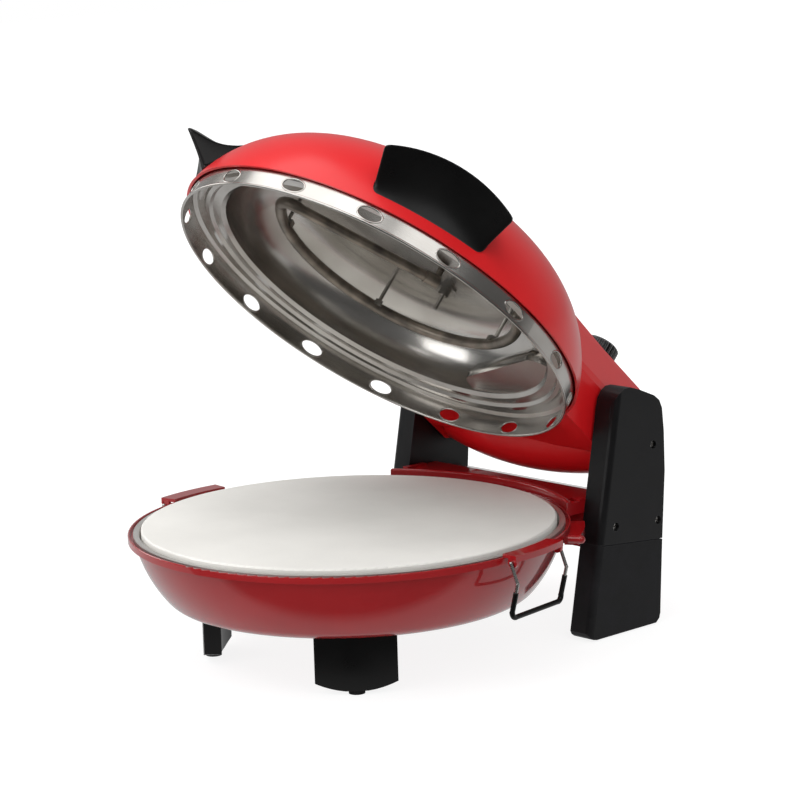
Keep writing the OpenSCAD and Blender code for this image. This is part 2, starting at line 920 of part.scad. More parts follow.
// Solid neck between the pillars; inset shrinks it on top, sides and back
module neck_solid(inset, low) {
    line = [for (p = neck_line) [min(p[0], neck_back - inset), p[1] - inset]];
    half = [for (p = neck_section) [p[0] - inset, p[1] - inset]];
    other = [for (i = [len(half) - 1:-1:0]) [-half[i][0], half[i][1]]];
    intersection() {
        translate([-far / 2, 0, 0])
            rotate([90, 0, 90])
                linear_extrude(far)
                    polygon(concat([[30, low]], line,
                        [[neck_back - inset, inset > 0 ? low : hinge_z], [hinge_y, low]]));
        translate([0, far + 40, 0])
            rotate([90, 0, 0])
                linear_extrude(far + 40)
                    polygon(concat([[neck_half - inset, low]], half, other,
                        [[-neck_half + inset, low]]));
    }
}

module along_hinge() {
    translate([0, hinge_y, hinge_z]) rotate([0, 90, 0]) children();
}

module hinge_rod(radius) {
    along_hinge() cylinder(h = far, r = radius, center = true);
}

// Barrel about the hinge axis, thickest in the middle
module barrel(grow) {
    bow = (neck_half * neck_half + barrel_swell * barrel_swell) / (2 * barrel_swell);
    middle = barrel_radius + barrel_swell;
    along_hinge()
        rotate_extrude()
            intersection() {
                translate([middle - bow, 0]) circle(bow + grow, $fn = 500);
                translate([0, -neck_half - 4]) square([far, 2 * neck_half + 8]);
            }
}

module lid_dome() {
    color([0.80, 0.09, 0.09])
        difference() {
            union() {
                rotate_extrude() dome_region(0, neck_low);
                neck_solid(0, neck_low);
            }
            rotate_extrude() dome_region(shell, neck_low - 5);
            neck_solid(shell, neck_low - 5);
            barrel(0.4);
            translate([knob_x, knob_y, stone_top]) cylinder(h = far, r = shaft_radius + 0.6);
            translate([-knob_x, knob_y, stone_top]) cylinder(h = far, r = 5);
        }
}

module neck_barrel() {
    inside = neck_half - shell - 0.1;
    cap = 3.5;
    color([0.45, 0.03, 0.03])
        difference() {
            union() {
                intersection() {
                    barrel(0);
                    translate([-neck_half + 0.5, 0, 0])
                        cube([2 * neck_half - 1, 2 * far, 2 * far]);
                }
                difference() {
                    translate([-inside, 100, neck_low + 0.2])
                        cube([2 * inside, hinge_y - 120, 2]);
                    cylinder(h = far, r = rim_outer);
                }
                intersection() {
                    rotate_extrude()
                        translate([rim_outer - 2.6, neck_low + 0.2]) square([4, 4]);
                    translate([-inside, 100, 0]) cube([2 * inside, far, far]);
                }
            }
            difference() {
                intersection() {
                    barrel(-2.4);
                    translate([-neck_half + cap, 0, 0])
                        cube([2 * (neck_half - cap), 2 * far, 2 * far]);
                }
                difference() {
                    hinge_rod(pin_radius + 5);
                    translate([-neck_half + 11, 0, 0])
                        cube([2 * neck_half - 22, 2 * far, 2 * far]);
                }
            }
            hinge_rod(pin_radius + pin_play);
        }
}

// Section of the pressed steel reflector: skirt, fold, ledge with a ridge, deep bowl
module reflector_section() {
    out = skirt_radius;
    t = sheet * 0.8;
    z = stone_top;
    polygon([[out, z + skirt_low + bead_radius], [out, z + 14.5], [out - 3.2, z + 17],
        [out - 10, z + 17], [out - 12, z + 15.2], [out - 14.4, z + 15.2], [out - 16.4, z + 17.4],
        [deep_radius + 3, z + 17.4], [deep_radius + t, z + 19.4], [deep_radius + t, z + 21],
        [deep_radius, z + 21], [deep_radius, z + 19], [deep_radius + 2.6, z + 17.4 - t],
        [out - 16.8, z + 17.4 - t], [out - 14.8, z + 15.2 - t], [out - 11.6, z + 15.2 - t],
        [out - 9.6, z + 17 - t], [out - 3.6, z + 17 - t], [out - t, z + 14.1],
        [out - t, z + skirt_low + bead_radius]]);
    translate([out - 0.3, z + skirt_low + bead_radius]) circle(bead_radius);
    difference() {
        tub_half(deep_radius + t, z + 20, z + deep_roof + t, deep_corner + t);
        tub_half(deep_radius, z + 19, z + deep_roof, deep_corner);
    }
}

module reflector() {
    hole_z = stone_top + skirt_low + hole_lift;
    color([0.72, 0.70, 0.67]) {
        difference() {
            rotate_extrude() reflector_section();
            for (i = [0:hole_count - 1])
                rotate([0, 0, 15 + i * 360 / hole_count]) {
                    for (side = [-1, 1])
                        translate([skirt_radius - 12, side * hole_stretch / 2, hole_z])
                            rotate([0, 90, 0]) cylinder(h = 20, r = hole_radius);
                    translate([skirt_radius - 12, -hole_stretch / 2, hole_z - hole_radius])
                        cube([20, hole_stretch, 2 * hole_radius]);
                }
            // Passage for the raised end of the heating tube
            translate([tail_end[0], tail_end[1], stone_top + deep_roof - 1])
                cylinder(h = 4, r = 2.2);
        }
        // Pressed swelling at the back, in front of the hinge
        intersection() {
            union() {
                rod([8, 128, stone_top + 24], [96, 90, stone_top + 24], 16);
                ball([8, 128, stone_top + 24], 16.2);
                ball([96, 90, stone_top + 24], 16.2);
            }
            translate([0, 0, stone_top + 19.5])
                cylinder(h = deep_roof - deep_corner, r = deep_radius + sheet * 0.4);
        }
    }
}

module deep_space() {
    rotate_extrude()
        tub_half(deep_radius, stone_top + 19, stone_top + deep_roof, deep_corner);
}

module reflector_brackets() {
    color([0.6, 0.6, 0.6])
        intersection() {
            for (turn = [45, 135, 225, 315])
                rotate([0, 0, turn])
                    translate([skirt_radius - 10, -9, stone_top + 17]) cube([20, 18, 4]);
            rotate_extrude($fn = 400) dome_region(shell, neck_low);
        }
}

// Centre of the small turn, and the raised end of the inner run
turn_centre = (upper_ring - turn_radius) * [cos(225), sin(225)];
run_angle = 65.4;
run_start = turn_centre + turn_radius * [cos(run_angle - 90), sin(run_angle - 90)];
run_length = 119;
tail_end = run_start + run_length * [cos(run_angle), sin(run_angle)];
// Drop of the pressed bowl's roof over the outer run, where its shoulder has begun
rise_gap = deep_corner - sqrt(pow(deep_corner, 2) - pow(upper_ring - deep_radius + deep_corner, 2));

module upper_tube(radius) {
    rotate([0, 0, 30])
        rotate_extrude(angle = 195)
            translate([upper_ring, stone_top + upper_lift]) circle(radius);
}

module upper_element() {
    level = stone_top + upper_lift;
    raised = stone_top + tail_lift;
    end = [tail_end[0], tail_end[1], raised];
    start = [run_start[0], run_start[1], level];
    color([0.28, 0.26, 0.24]) {
        upper_tube(tube_radius);
        // The tight turn is a little thicker, as a bent tube is
        translate([turn_centre[0], turn_centre[1], level])
            rotate([0, 0, 224])
                rotate_extrude(angle = run_angle + 46)
                    translate([turn_radius, 0]) circle(tube_radius + 0.3);
        rod(start - (end - start) * 0.008, end, tube_radius);
        rod(end - (end - start) * 0.07, end + (end - start) * 0.02, tube_radius + 1);
        rod(end, [end[0], end[1], stone_top + deep_roof + 3], 2);
        rotate([0, 0, 30]) {
            translate([upper_ring, 0, level])
                cylinder(h = deep_roof - upper_lift - rise_gap, r = tube_radius);
            ball([upper_ring, 0, level], tube_radius + 0.4);
        }
    }
}

module upper_element_hangers() {
    level = stone_top + upper_lift;
    color([0.7, 0.69, 0.67])
        difference() {
            intersection() {
                for (turn = [75, 140, 205])
                    rotate([0, 0, turn]) {
                        translate([upper_ring - tube_radius - 1.5, -3, level])
                            cube([2 * tube_radius + 3, 6, tube_radius + 1.5]);
                        translate([upper_ring, 0, level]) cylinder(h = far, r = 1.5);
                    }
                deep_space();
            }
            rotate_extrude()
                translate([upper_ring, level]) circle(tube_radius + 0.02);
        }
}

module thermostat_bulb() {
    roof = stone_top + deep_roof;
    color([0.66, 0.65, 0.62])
        translate([-13, 63, 0]) {
            translate([0, 0, stone_top + 45]) cylinder(h = roof - stone_top - 45, r = 1.5);
            translate([-7, -4, roof - 1.5]) cube([14, 8, 1.5]);
            translate([-3, -3, roof - 8]) cube([6, 6, 6.5]);
        }
}

// Section of the grip's arch, as [distance from the crown's centre line, reach]
module brim_section() {
    t = grip_tip;
    z = grip_crown;
    polygon([[z - 44, t - 38], [z - 31, t - 27], [z - 25.5, t - 22.4], [z - 20.9, t - 18],
        [z - 16.4, t - 13.5], [z - 10.8, t - 8.9], [z - 5.6, t - 4.4], [z - 1.2, t - 0.8],
        [z - 0.3, t], [z + 0.5, t - 0.6], [z + 0.7, t - 4.6], [z - 0.1, t - 12.2],
        [z - 0.7, t - 21.1], [z + 0.7, t - 29.7], [z + 4.2, t - 37.7], [z + 8.6, t - 44],
        [z + 12.8, t - 52], [z + 16.5, t - 60], [z + 19, t - 69], [z + 19, t - 76],
        [z - 44, t - 76]]);
}

// Section that every part of the grip stays inside, turned about the lid's axis
module grip_limit() {
    t = grip_tip;
    polygon([[110, grip_base], [t - 19.2, grip_base], [t - 12.6, grip_base + 4.3],
        [t - 7.3, grip_base + 9], [t - 2.3, grip_base + 15], [t + 6.6, grip_base + 25.3],
        [t + 20, grip_base + 40], [t + 20, 90], [110, 90]]);
}

// Section of the grip's foot on the dome
module grip_foot() {
    t = grip_tip;
    polygon([[125, grip_base], [t - 19.5, grip_base], [t - 19, grip_base + 5],
        [t - 19.8, grip_base + 13], [t - 25, grip_base + 23], [t - 42, grip_base + 30],
        [125, grip_base + 30]]);
}

module grip() {
    crown_z = stone_top + grip_tip_height - grip_crown;
    low = stone_top + grip_base;
    color([0.035, 0.035, 0.035])
        difference() {
            rotate([0, 0, grip_angle])
                difference() {
                    intersection() {
                        union() {
                            translate([0, 0, crown_z])
                                rotate([0, 90, 0]) rotate_extrude() brim_section();
                            translate([0, 0, stone_top]) rotate_extrude() grip_foot();
                        }
                        translate([0, 0, stone_top]) rotate_extrude() grip_limit();
                        translate([0, 0, low - 1]) linear_extrude(90) wedge(grip_half, 240);
                    }
                    // The two lower corners are rounded off
                    for (side = [0, 1])
                        mirror([0, side, 0])
                            rotate([0, 0, grip_half])
                                difference() {
                                    translate([100, -grip_corner, low - 1])
                                        cube([110, grip_corner + 6, grip_corner + 1]);
                                    translate([99, 0.3 - grip_corner, low + grip_corner - 0.3])
                                        rotate([0, 90, 0]) cylinder(h = 112, r = grip_corner);
                                }
                }
            rotate_extrude() dome_region(-0.02, stone_top);
        }
}

module grip_right() {
    grip();
}

module grip_left() {
    mirror([1, 0, 0]) grip();
}

module dial_plate() {
    color([0.08, 0.08, 0.08])
        translate([knob_x, knob_y, stone_top + neck_top])
            difference() {
                cylinder(h = 0.9, r = knob_radius + 4);
                translate([0, 0, -1]) cylinder(h = 3, r = shaft_radius + 0.6);
                for (i = [0:10])
                    rotate([0, 0, 30 * i - 60])
                        translate([knob_radius + 1.4, -0.4, 0.5]) cube([2, 0.8, 1]);
            }
}

module knob() {
    low = stone_top + neck_top + 1.4;
    color([0.05, 0.05, 0.05])
        translate([knob_x, knob_y, low])
            difference() {
                union() {
                    cylinder(h = 2, r = knob_radius);
                    cylinder(h = knob_height - 1, r = knob_radius - 0.8);
                    cylinder(h = knob_height, r = knob_radius - 2);
                    translate([-knob_radius + 2.5, -1.2, knob_height - 1])
                        cube([knob_radius - 2, 2.4, 1.8]);
                }
                for (i = [0:groove_count - 1])
                    rotate([0, 0, i * 360 / groove_count])
                        translate([knob_radius - 0.4, 0, 2])
                            cylinder(h = knob_height, r = 0.9);
                translate([0, 0, -1]) cylinder(h = knob_height - 2, r = shaft_radius);
            }
}

module knob_shaft() {
    low = stone_top + neck_top - 12;
    color([0.8, 0.8, 0.8])
        translate([knob_x, knob_y, low])
            cylinder(h = 12 + 1.4 + knob_height - 3, r = shaft_radius);
}

module thermostat_body() {
    roof = stone_top + neck_top - shell;
    color([0.75, 0.74, 0.70])
        difference() {
            union() {
                translate([knob_x - 15, knob_y - 15, roof - 15]) cube([30, 30, 13]);
                translate([knob_x, knob_y, roof - 2]) cylinder(h = 2, r = 8);
            }
            translate([knob_x, knob_y, roof - 12])
                cylinder(h = 20, r = shaft_radius + pin_play);
        }
}

module pilot_lamp() {
    color([0.85, 0.25, 0.12])
        translate([-knob_x, knob_y, stone_top + neck_top]) {
            translate([0, 0, -8]) cylinder(h = 8, r = 5);
            cylinder(h = 1.2, r = 6.5);
            translate([0, 0, 1.2 - 0.01]) cylinder(h = 1.2, r = 5);
        }
}

placed() lower_bowl();
placed() stone_pan();
placed() baking_stone();
placed() lower_element();
placed() lower_element_clips();
placed() front_foot_right();
placed() front_foot_left();
placed() foot_pads();
placed() rear_bridge();
placed() bridge_back_panel();
placed() cord_gland();
placed() collar_right();
placed() collar_left();
placed() pillar_right();
placed() pillar_left();
placed() pillar_base_right();
placed() pillar_base_left();
placed() pillar_pads();
placed() pillar_screws_right();
placed() pillar_screws_left();
placed() hinge_pin_right();
placed() hinge_pin_left();
placed() bracket_right();
placed() bracket_left();
placed() bail_wire_right();
placed() bail_wire_left();
placed() bail_sleeve_right();
placed() bail_sleeve_left();
lid_at_rest() lid_dome();
lid_at_rest() neck_barrel();
lid_at_rest() reflector();
lid_at_rest() reflector_brackets();
lid_at_rest() upper_element();
lid_at_rest() upper_element_hangers();
lid_at_rest() thermostat_bulb();
lid_at_rest() grip_right();
lid_at_rest() grip_left();
lid_at_rest() dial_plate();
lid_at_rest() knob();
lid_at_rest() knob_shaft();
lid_at_rest() thermostat_body();
lid_at_rest() pilot_lamp();
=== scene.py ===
# %% [markdown]
# # A countertop pizza maker
# This lesson dresses a finished CAD model of a countertop pizza maker: a red enamelled bowl with a
# baking stone, and a red lid with a polished steel lining that opens on a hinge between two
# pillars. The shapes and joints come from the CAD files. Here every surface gets its real finish,
# the moulded and pressed pieces get the small roundings that catch the light, and a soft studio is
# set up.

# %% Load the CAD frame
import bpy, json, math
from mathutils import Matrix, Vector


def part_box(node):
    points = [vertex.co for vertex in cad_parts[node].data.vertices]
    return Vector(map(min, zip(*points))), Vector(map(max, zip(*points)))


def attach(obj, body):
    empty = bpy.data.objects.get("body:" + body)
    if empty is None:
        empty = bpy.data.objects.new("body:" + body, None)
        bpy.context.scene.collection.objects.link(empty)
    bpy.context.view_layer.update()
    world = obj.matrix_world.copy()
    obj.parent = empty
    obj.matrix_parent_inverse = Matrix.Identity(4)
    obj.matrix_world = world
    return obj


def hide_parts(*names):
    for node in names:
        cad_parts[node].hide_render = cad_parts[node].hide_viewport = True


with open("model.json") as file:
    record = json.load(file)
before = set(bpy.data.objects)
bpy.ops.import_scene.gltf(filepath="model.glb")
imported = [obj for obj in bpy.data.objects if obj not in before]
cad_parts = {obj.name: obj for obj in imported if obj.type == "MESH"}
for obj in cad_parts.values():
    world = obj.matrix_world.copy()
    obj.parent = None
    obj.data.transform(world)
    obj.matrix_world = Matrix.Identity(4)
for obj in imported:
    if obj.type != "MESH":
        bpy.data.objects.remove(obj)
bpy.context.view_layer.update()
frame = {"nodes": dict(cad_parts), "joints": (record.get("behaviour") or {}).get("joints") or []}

# %% [markdown]
# ## Where the main pieces are
# Lengths are in metres, +Z is up, the hinge side is +Y. The centre of the stone's top face is the
# natural origin of this appliance, because the bowl, the rim and the closed lid are all round
# about it. The lid is drawn open by 42.7 degrees, so a point that is easy to give on the closed
# lid is turned about the hinge to where the open lid holds it.

# %% Landmarks from the frame
low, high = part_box("baking_stone")
stone_centre = Vector(((low.x + high.x) / 2, (low.y + high.y) / 2, high.z))
hinge = next(joint for joint in frame["joints"] if joint["name"] == "lid_hinge")
hinge_point = Vector(hinge["pos_m"])
lid_tilt = math.radians(42.7)
lean = Matrix.Rotation(-lid_tilt, 3, "X")


def on_lid(x, y, z):
    """A point of the closed lid, in mm from the stone's centre, where the open lid holds it."""
    closed = stone_centre + Vector((x, y, z)) / 1000
    return hinge_point + lean @ (closed - hinge_point)


lid_centre = on_lid(0, 0, 0)
print("stone centre:", stone_centre, "lid centre:", lid_centre)

# %% [markdown]
# ## The camera first
# The view is solved from the photograph: a long lens from the front right, a little above the
# stone. A long lens keeps the two ellipses of stone and lid rim almost parallel, as they are in
# the picture. The three vectors are the camera's own axes, and its place is given from the stone.

# %% Camera
camera_data = bpy.data.cameras.new("camera")
camera = bpy.data.objects.new("camera", camera_data)
bpy.context.scene.collection.objects.link(camera)
camera_data.sensor_width = 36
camera_data.lens = 142.23
camera_data.clip_end = 50
right = Vector((0.68996, 0.72319, -0.03041))
up = Vector((-0.11506, 0.15106, 0.98179))
ahead = Vector((-0.71463, 0.67391, -0.18745))
turn = Matrix((right, up, -ahead)).transposed().to_4x4()
camera_from_stone = Vector((1.7002, -1.5474, 0.5276))
camera.matrix_world = Matrix.Translation(stone_centre + camera_from_stone) @ turn
bpy.context.scene.camera = camera
print("camera at", camera.location)

# %% [markdown]
# ## Colours and a small node helper
# A colour picked from a screen is stored in sRGB, but the shader works in linear light, so one
# function turns a hex value into linear numbers. A second function adds one shader node, sets it
# up and wires its inputs; a colour ramp also gets its stops, as pairs of place and colour.
# Everything else is plain lists of nodes. The scale of a noise is its number of blobs in a metre,
# so a pattern of 2 mm has a scale of about 500.

# %% Colour and node helpers
def linear(hex_colour):
    """An sRGB hex colour as linear RGBA."""
    parts = [int(hex_colour[i:i + 2], 16) / 255 for i in (0, 2, 4)]
    return tuple(c / 12.92 if c <= 0.04045 else ((c + 0.055) / 1.055) ** 2.4
                 for c in parts) + (1.0,)


def grey(value):
    """A neutral colour of this linear value."""
    return (value, value, value, 1.0)


def add(tree, kind, settings=None, inputs=None, stops=()):
    """Adds a node. An input is a value to set or a socket to link, a stop is (place, colour)."""
    made = tree.nodes.new("ShaderNode" + kind)
    for name, value in (settings or {}).items():
        setattr(made, name, value)
    for name, value in (inputs or {}).items():
        if isinstance(value, bpy.types.NodeSocket):
            tree.links.new(value, made.inputs[name])
        else:
            made.inputs[name].default_value = value
    if stops:
        bar = made.color_ramp.elements
        while len(bar) < len(stops):
            bar.new(0.5)
        for element, (place, colour) in zip(bar, stops):
            element.position = place
            element.color = colour
    return made


def new_material(name):
    """An empty node material with its output."""
    material = bpy.data.materials.new(name)
    material.use_nodes = True
    material.node_tree.nodes.clear()
    return material, material.node_tree, add(material.node_tree, "OutputMaterial")


print("the bowl's red in linear light:", [round(c, 3) for c in linear("9F1016")])

# %% [markdown]
# ## Baked enamel
# The bowl and the lid are sheet steel, sprayed with red powder enamel and baked. The paint flows a
# little before it sets, which leaves a very fine "orange peel" of about 2 mm and a hard clear
# gloss. Where the sheet turns an edge the paint is thinner, so the edge is a shade lighter. The
# Bevel node finds those edges: it looks half a millimetre round each point and returns a softened
# normal, which differs from the true one only near an edge. The bowl has a sharp clear gloss. The
# lid shows its lights blurred, so it has a softer coat. Bowl and lid are one paint in two shades:
# the lid's brighter red is painted light, and the bowl's deeper red is painted shade.

# %% Red enamel
enamel_patches = 9.0  # about 11 cm across
enamel_peel = 480.0  # about 2 mm
peel_depth = 0.00004  # m


def make_enamel(name, deep, clear, edge, coat, coat_blur):
    """Paint that wanders between two reds, with paler edges, a fine peel and a clear coat."""
    material, tree, output = new_material(name)
    place = add(tree, "TexCoord").outputs["Object"]
    cloud = add(tree, "TexNoise", inputs={"Vector": place, "Scale": enamel_patches, "Detail": 2.0})
    body = add(tree, "ValToRGB", inputs={"Fac": cloud.outputs["Fac"]},
               stops=[(0.35, linear(deep)), (0.65, linear(clear))])
    peel = add(tree, "TexNoise", inputs={"Vector": place, "Scale": enamel_peel, "Detail": 1.0})
    soft = add(tree, "Bevel", {"samples": 4}, {"Radius": 0.0005})
    true = add(tree, "NewGeometry").outputs["Normal"]
    same = add(tree, "VectorMath", {"operation": "DOT_PRODUCT"}, {0: soft.outputs[0], 1: true})
    paler_edges = add(tree, "MapRange", inputs={"Value": same.outputs["Value"], "From Min": 0.985,
                                         "From Max": 0.9, "To Min": 0.0, "To Max": 0.35})
    colour = add(tree, "Mix", {"data_type": "RGBA"}, {
        "Factor": paler_edges.outputs[0], 6: body.outputs["Color"], 7: linear(edge)})
    rough = add(tree, "MapRange", inputs={"Value": cloud.outputs["Fac"], "To Min": 0.30,
                                          "To Max": 0.38})
    bump = add(tree, "Bump", inputs={"Strength": 0.10, "Distance": peel_depth,
                                     "Height": peel.outputs["Fac"]})
    paint = add(tree, "BsdfPrincipled", inputs={
        "Base Color": colour.outputs[2], "Roughness": rough.outputs[0], "IOR": 1.5,
        "Specular IOR Level": 0.25, "Coat Weight": coat, "Coat Roughness": coat_blur,
        "Normal": bump.outputs[0]})
    tree.links.new(paint.outputs[0], output.inputs[0])
    return material


# One paint in two shades: the lid's brighter red is painted light, the bowl's deeper red painted
# shade.
red_enamel = make_enamel("red_baked_enamel", "920C12", "9F1016", "BC383E", 1.0, 0.035)
lid_enamel = make_enamel("red_baked_enamel_lid", "D01419", "DC1A1F", "E85054", 0.3, 0.22)
print("made", red_enamel.name, lid_enamel.name)

# %% [markdown]
# ## Sheet steel and wire
# The lining of the lid is stainless sheet, pressed and then polished while it turns. The turning
# leaves hair-fine rings about the axis, drawn here about 1 mm apart so that they just show. A
# noise is read at the distance from the axis and at the height, so it is the same all the way
# round. The lid leans, so a Mapping node brings its axis upright. The pan below the stone is
# aluminised sheet, paler and duller, with such rings about the stone's axis. Screws, pins, bails
# and the knob's shaft are bright steel. They are too small to show rings of their own, so theirs
# have no Mapping node.

# %% Polished steel with turning marks
steel_rings = 900.0  # about 1 mm apart, coarser than the real hair-fine ones
steel_smears = 14.0  # about 7 cm
ring_depth = 0.00001  # m


def make_steel(name, bright, dull, rough_low, rough_high, centre=None, tilt=0.0):
    """Metal with turning marks about an upright axis through the centre, or about the frame's."""
    material, tree, output = new_material(name)
    place = add(tree, "TexCoord").outputs["Object"]
    if centre is not None:
        place = add(tree, "Mapping", {"vector_type": "TEXTURE"}, {
            "Vector": place, "Location": centre, "Rotation": (-tilt, 0.0, 0.0)}).outputs[0]
    flat = add(tree, "VectorMath", {"operation": "MULTIPLY"}, {0: place, 1: (1.0, 1.0, 0.0)})
    radius = add(tree, "VectorMath", {"operation": "LENGTH"}, {0: flat.outputs[0]})
    split = add(tree, "SeparateXYZ", inputs={0: place})
    rings = add(tree, "CombineXYZ", inputs={0: radius.outputs["Value"], 1: 0.0,
                                            2: split.outputs["Z"]})
    marks = add(tree, "TexNoise", inputs={"Vector": rings.outputs[0], "Scale": steel_rings,
                                          "Detail": 3.0, "Roughness": 0.7})
    smear = add(tree, "TexNoise", inputs={"Vector": place, "Scale": steel_smears, "Detail": 4.0})
    tone = add(tree, "ValToRGB", inputs={"Fac": smear.outputs["Fac"]},
               stops=[(0.3, linear(dull)), (0.7, linear(bright))])
    rough = add(tree, "MapRange", inputs={"Value": marks.outputs["Fac"], "From Min": 0.3,
                                          "From Max": 0.7, "To Min": rough_low,
                                          "To Max": rough_high})
    bump = add(tree, "Bump", inputs={"Strength": 0.02, "Distance": ring_depth,
                                     "Height": marks.outputs["Fac"]})
    metal = add(tree, "BsdfPrincipled", inputs={
        "Base Color": tone.outputs["Color"], "Metallic": 1.0, "Roughness": rough.outputs[0],
        "Normal": bump.outputs[0]})
    tree.links.new(metal.outputs[0], output.inputs[0])
    return material


lining_steel = make_steel("polished_stainless_lining", "CCCAC6", "A8A39D", 0.19, 0.25,
                          lid_centre, lid_tilt)
pan_steel = make_steel("satin_aluminised_pan", "E4E2DF", "CFCCC8", 0.45, 0.58, stone_centre)
wire_steel = make_steel("bright_steel_fittings", "D2CFCB", "A8A5A2", 0.18, 0.32)
print("steel pieces share one recipe:", lining_steel.name, pan_steel.name, wire_steel.name)

# %% [markdown]
# ## The baking stone
# The slab is cordierite, a pressed and fired ceramic. It is cream white and dull, with a fine
# grain of about half a millimetre and faint cloudy patches from the press. The grain is drawn at 1
# mm so that it just shows in the picture. A few darker specks stand a little over 2 mm apart.

# %% Cordierite stone
stone_grain = 900.0  # about 1 mm, twice the real grain
stone_patches = 12.0  # about 8 cm
stone_specks = 420.0  # a little over 2 mm apart
grain_depth = 0.00015  # m

stone, tree, output = new_material("pressed_cordierite")
place = add(tree, "TexCoord").outputs["Object"]
grains = add(tree, "TexNoise", inputs={"Vector": place, "Scale": stone_grain, "Detail": 2.0})
patch = add(tree, "TexNoise", inputs={"Vector": place, "Scale": stone_patches, "Detail": 3.0})
specks = add(tree, "TexVoronoi", inputs={"Vector": place, "Scale": stone_specks})
base = add(tree, "ValToRGB", inputs={"Fac": patch.outputs["Fac"]},
           stops=[(0.3, linear("DEDCD7")), (0.7, linear("E8E6E1"))])
dots = add(tree, "ValToRGB", inputs={"Fac": specks.outputs["Distance"]},
           stops=[(0.08, grey(0.8)), (0.16, grey(1.0))])
shade = add(tree, "Mix", {"data_type": "RGBA", "blend_type": "MULTIPLY"},
            {"Factor": 0.45, 6: base.outputs["Color"], 7: dots.outputs["Color"]})
bump = add(tree, "Bump", inputs={"Strength": 0.25, "Distance": grain_depth,
                                 "Height": grains.outputs["Fac"]})
body = add(tree, "BsdfPrincipled", inputs={"Base Color": shade.outputs[2], "Roughness": 0.72,
                                           "Normal": bump.outputs[0]})
tree.links.new(body.outputs[0], output.inputs[0])
print("made", stone.name)

# %% [markdown]
# ## Heating tube
# The heating elements are steel tubes with a resistance wire inside. After the first use the
# sheath is covered by a dull dark oxide with paler and darker brown clouds of about 17 mm. The
# oxide is a skin on metal, so the shader stays three quarters metallic.

# %% Oxidised heating tube
oxide_clouds = 60.0  # about 17 mm
oxide_depth = 0.0001  # m

tube, tree, output = new_material("oxidised_heater_sheath")
place = add(tree, "TexCoord").outputs["Object"]
cloud = add(tree, "TexNoise", inputs={"Vector": place, "Scale": oxide_clouds, "Detail": 4.0})
tint = add(tree, "ValToRGB", inputs={"Fac": cloud.outputs["Fac"]},
           stops=[(0.3, linear("5A554F")), (0.5, linear("7A7268")), (0.72, linear("968C80"))])
rough = add(tree, "MapRange", inputs={"Value": cloud.outputs["Fac"], "To Min": 0.25,
                                      "To Max": 0.45})
bump = add(tree, "Bump", inputs={"Strength": 0.2, "Distance": oxide_depth,
                                 "Height": cloud.outputs["Fac"]})
body = add(tree, "BsdfPrincipled", inputs={
    "Base Color": tint.outputs["Color"], "Metallic": 0.75, "Roughness": rough.outputs[0],
    "Normal": bump.outputs[0]})
tree.links.new(body.outputs[0], output.inputs[0])
print("made", tube.name)

# %% [markdown]
# ## Moulded plastics, rubber and steatite
# Grips, feet, the knob and the small black fittings are black phenolic, moulded in a spark-eroded
# tool: the grain is a fraction of a millimetre and gives a satin sheen. The knob's ridges are
# painted pale, a painted highlight along each ridge. The pillars are charcoal nylon, almost smooth
# above the seam and with a coarser cloudy grain below it. The pads are matt moulded rubber. The
# thermostat's body is unglazed steatite, a cream ceramic that is pressed and fired. One recipe
# covers them: two close colours, the grain's size and depth in millimetres, and a range of
# roughness. The grain is drawn twice as coarse as it is, so that it just shows in the picture.

# %% Moulded pieces
drawn_coarser = 2
wide_clouds, close_clouds = 30.0, 60.0  # about 33 mm and 17 mm


def make_moulding(name, dark, pale, grain_mm, depth_mm, rough_low, rough_high,
                  cloud_scale=wide_clouds, edge_tone="343436"):
    """A grained moulding with slow clouds of tone and gloss, and paler edges: rubbed wear on most
    pieces, a painted highlight on the knob's ridges.
    """
    material, tree, output = new_material(name)
    place = add(tree, "TexCoord").outputs["Object"]
    grain = add(tree, "TexNoise", inputs={
        "Vector": place, "Scale": 1000.0 / grain_mm / drawn_coarser, "Detail": 2.0})
    cloud = add(tree, "TexNoise", inputs={"Vector": place, "Scale": cloud_scale, "Detail": 4.0})
    soft = add(tree, "Bevel", {"samples": 4}, {"Radius": 0.001})
    true = add(tree, "NewGeometry").outputs["Normal"]
    same = add(tree, "VectorMath", {"operation": "DOT_PRODUCT"}, {0: soft.outputs[0], 1: true})
    # Paler edges: rubbed wear on most mouldings, and a painted highlight on the knob, whose edge
    # tone is pale.
    paler_edges = add(tree, "MapRange", inputs={"Value": same.outputs["Value"], "From Min": 0.985,
                                         "From Max": 0.85, "To Min": 0.0, "To Max": 0.6})
    tone = add(tree, "ValToRGB", inputs={"Fac": cloud.outputs["Fac"]},
               stops=[(0.35, linear(dark)), (0.65, linear(pale))])
    edge = add(tree, "Mix", {"data_type": "RGBA"}, {
        "Factor": paler_edges.outputs[0], 6: tone.outputs["Color"], 7: linear(edge_tone)})
    rough = add(tree, "MapRange", inputs={"Value": cloud.outputs["Fac"], "From Min": 0.3,
                                          "From Max": 0.7, "To Min": rough_low,
                                          "To Max": rough_high})
    bump = add(tree, "Bump", inputs={"Strength": 0.35, "Distance": depth_mm / 1000,
                                     "Height": grain.outputs["Fac"]})
    body = add(tree, "BsdfPrincipled", inputs={
        "Base Color": edge.outputs[2], "IOR": 1.5, "Specular IOR Level": 0.28,
        "Roughness": rough.outputs[0], "Normal": bump.outputs[0]})
    tree.links.new(body.outputs[0], output.inputs[0])
    return material


